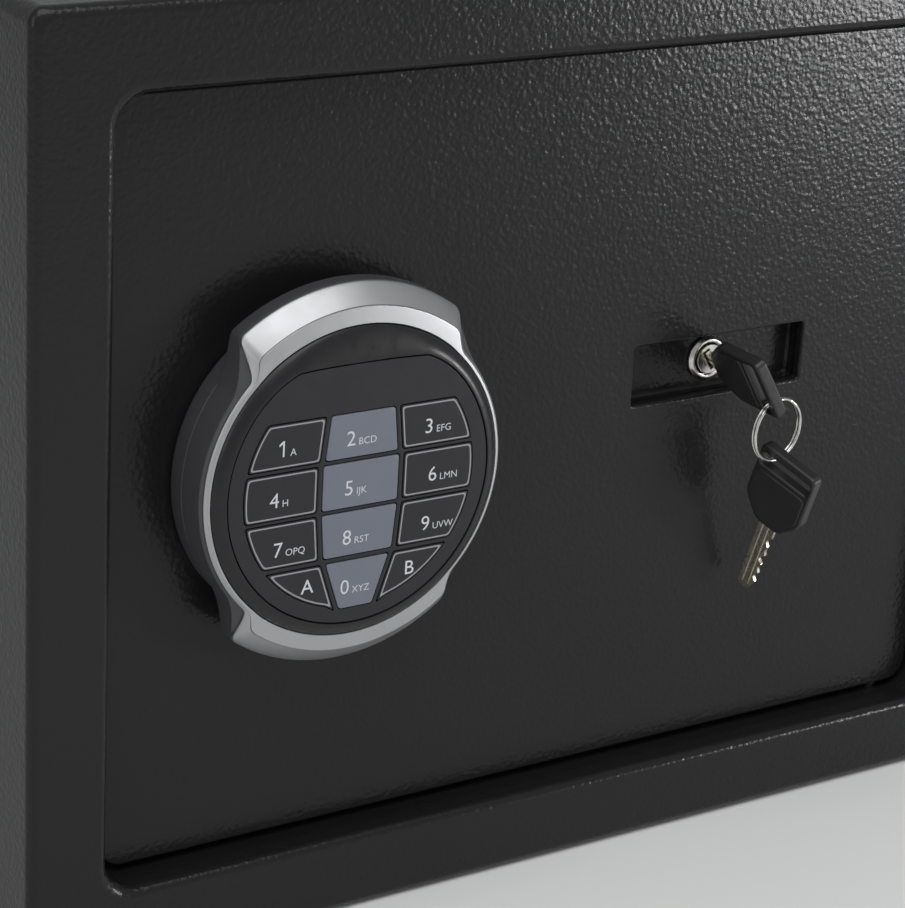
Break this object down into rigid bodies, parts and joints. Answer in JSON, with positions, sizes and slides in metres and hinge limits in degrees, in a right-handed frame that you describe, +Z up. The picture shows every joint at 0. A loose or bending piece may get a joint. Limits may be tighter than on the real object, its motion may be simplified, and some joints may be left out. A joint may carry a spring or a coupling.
{
  "type": "safe",
  "caption": "Steel home safe with a recessed door, round keypad that turns as the bolt handle, and an override lock holding a key with a ring and spare key.",
  "frame": {"origin": "centre of the underside of the body", "axes": "+X to the right seen from the front, +Y into the safe, +Z up; the door faces -Y"},
  "size_m": [0.38, 0.3287, 0.3],
  "materials": {
    "powder_coat": "black orange-peel powder coat",
    "inner_paint": "smooth dark grey paint",
    "zinc_steel": "zinc plated steel",
    "satin_silver": "satin silver",
    "dark_plastic": "fine satin",
    "gloss_black": "semi-gloss",
    "key_black": "semi-gloss with printed outline",
    "key_blue": "satin blue-grey",
    "brass": "worn, grooved",
    "nickel": "bright nickel",
    "board": "solder mask",
    "cell": "printed sleeve",
    "felt": "short pile felt",
    "lead": "flexible insulation"
  },
  "bodies": {
    "cabinet": {"body_shell": "powder_coat", "front_frame": "powder_coat", "back_panel": "powder_coat", "hinge_bracket_lower": "zinc_steel", "hinge_bracket_upper": "zinc_steel", "floor_mat": "felt"},
    "door": {"door_plate": "powder_coat", "door_tray": "inner_paint", "door_inner_cover": "inner_paint", "hinge_pivot_lower": "zinc_steel", "hinge_pivot_upper": "zinc_steel", "lock_pocket": "powder_coat", "lock_housing": "nickel", "lock_nut": "nickel", "bolt_guide_lower": "zinc_steel", "bolt_guide_upper": "zinc_steel", "bar_stud_lower": "zinc_steel", "bar_stud_upper": "zinc_steel", "spindle_bush": "brass", "battery_holder": "dark_plastic", "battery_1": "cell", "battery_2": "cell", "battery_3": "cell", "battery_4": "cell", "control_board": "board", "solenoid_body": "zinc_steel", "solenoid_lead": "lead", "battery_lead": "lead"},
    "handle": {"handle_body": "dark_plastic", "grip_collar": "satin_silver", "face_bezel": "gloss_black", "key_panel": "gloss_black", "keypad_board": "board", "handle_spindle": "zinc_steel", "crank_arm": "zinc_steel", "drive_pin": "zinc_steel"},
    "keypad_key_1": {"key_1": "key_black"},
    "keypad_key_2": {"key_2": "key_blue"},
    "keypad_key_3": {"key_3": "key_black"},
    "keypad_key_4": {"key_4": "key_black"},
    "keypad_key_5": {"key_5": "key_blue"},
    "keypad_key_6": {"key_6": "key_black"},
    "keypad_key_7": {"key_7": "key_black"},
    "keypad_key_8": {"key_8": "key_blue"},
    "keypad_key_9": {"key_9": "key_black"},
    "keypad_key_a": {"key_a": "key_black"},
    "keypad_key_0": {"key_0": "key_blue"},
    "keypad_key_b": {"key_b": "key_black"},
    "bolt_work": {"bolt_bar": "zinc_steel", "locking_bolt_lower": "nickel", "locking_bolt_upper": "nickel"},
    "plunger": {"solenoid_plunger": "nickel"},
    "lock_core": {"lock_plug": "nickel", "lock_cam": "zinc_steel"},
    "key_in_lock": {"key_bow_a": "gloss_black", "key_blade_a": "brass"},
    "ring": {"split_ring": "nickel"},
    "spare_key": {"key_bow_b": "gloss_black", "key_blade_b": "brass"},
    "battery_hatch": {"battery_cover": "inner_paint"}
  },
  "joints": [
    {"name": "door_hinge", "type": "hinge", "parent": "cabinet", "child": "door", "pos_m": [0.151, -0.1305, 0.15], "axis": [0, 0, 1], "range_deg": [0, 94]},
    {"name": "handle_turn", "type": "hinge", "parent": "door", "child": "handle", "pos_m": [-0.0894, -0.15, 0.1534], "axis": [0, -1, 0], "range_deg": [0, 60]},
    {"name": "bolt_slide", "type": "slide", "parent": "door", "child": "bolt_work", "axis": [-1, 0, 0], "range_m": [0, 0.0201]},
    {"name": "plunger_slide", "type": "slide", "parent": "door", "child": "plunger", "axis": [0, 0, -1], "range_m": [0, 0.0055], "stiffness_N_per_m": 300},
    {"name": "lock_turn", "type": "hinge", "parent": "door", "child": "lock_core", "pos_m": [0.0622, -0.12, 0.1626], "axis": [0, -1, 0], "range_deg": [-31, 59]},
    {"name": "key_pull", "type": "slide", "parent": "lock_core", "child": "key_in_lock", "axis": [0, -1, 0], "range_m": [0, 0.027]},
    {"name": "ring_swing", "type": "hinge", "parent": "key_in_lock", "child": "ring", "pos_m": [0.06662, -0.16079, 0.15529], "axis": [0.1392, -0.9903, 0], "range_deg": [-3, 12]},
    {"name": "spare_key_swing", "type": "hinge", "parent": "ring", "child": "spare_key", "pos_m": [0.07085, -0.1602, 0.1352], "axis": [-0.9563, -0.2924, 0], "range_deg": [-6, 12]},
    {"name": "battery_cover_tilt", "type": "hinge", "parent": "door", "child": "battery_hatch", "pos_m": [0.043, -0.0952, 0.058], "axis": [-1, 0, 0], "range_deg": [0, 95]},
    {"name": "key_1_press", "type": "slide", "parent": "handle", "child": "keypad_key_1", "axis": [0, 1, 0], "range_m": [0, 0.0007], "stiffness_N_per_m": 800},
    {"name": "key_2_press", "type": "slide", "parent": "handle", "child": "keypad_key_2", "axis": [0, 1, 0], "range_m": [0, 0.0007], "stiffness_N_per_m": 800},
    {"name": "key_3_press", "type": "slide", "parent": "handle", "child": "keypad_key_3", "axis": [0, 1, 0], "range_m": [0, 0.0007], "stiffness_N_per_m": 800},
    {"name": "key_4_press", "type": "slide", "parent": "handle", "child": "keypad_key_4", "axis": [0, 1, 0], "range_m": [0, 0.0007], "stiffness_N_per_m": 800},
    {"name": "key_5_press", "type": "slide", "parent": "handle", "child": "keypad_key_5", "axis": [0, 1, 0], "range_m": [0, 0.0007], "stiffness_N_per_m": 800},
    {"name": "key_6_press", "type": "slide", "parent": "handle", "child": "keypad_key_6", "axis": [0, 1, 0], "range_m": [0, 0.0007], "stiffness_N_per_m": 800},
    {"name": "key_7_press", "type": "slide", "parent": "handle", "child": "keypad_key_7", "axis": [0, 1, 0], "range_m": [0, 0.0007], "stiffness_N_per_m": 800},
    {"name": "key_8_press", "type": "slide", "parent": "handle", "child": "keypad_key_8", "axis": [0, 1, 0], "range_m": [0, 0.0007], "stiffness_N_per_m": 800},
    {"name": "key_9_press", "type": "slide", "parent": "handle", "child": "keypad_key_9", "axis": [0, 1, 0], "range_m": [0, 0.0007], "stiffness_N_per_m": 800},
    {"name": "key_a_press", "type": "slide", "parent": "handle", "child": "keypad_key_a", "axis": [0, 1, 0], "range_m": [0, 0.0007], "stiffness_N_per_m": 800},
    {"name": "key_0_press", "type": "slide", "parent": "handle", "child": "keypad_key_0", "axis": [0, 1, 0], "range_m": [0, 0.0007], "stiffness_N_per_m": 800},
    {"name": "key_b_press", "type": "slide", "parent": "handle", "child": "keypad_key_b", "axis": [0, 1, 0], "range_m": [0, 0.0007], "stiffness_N_per_m": 800}
  ],
  "couplings": [
    {"joint": "bolt_slide", "follows": "handle_turn", "m_per_rad": 0.019099}
  ]
}
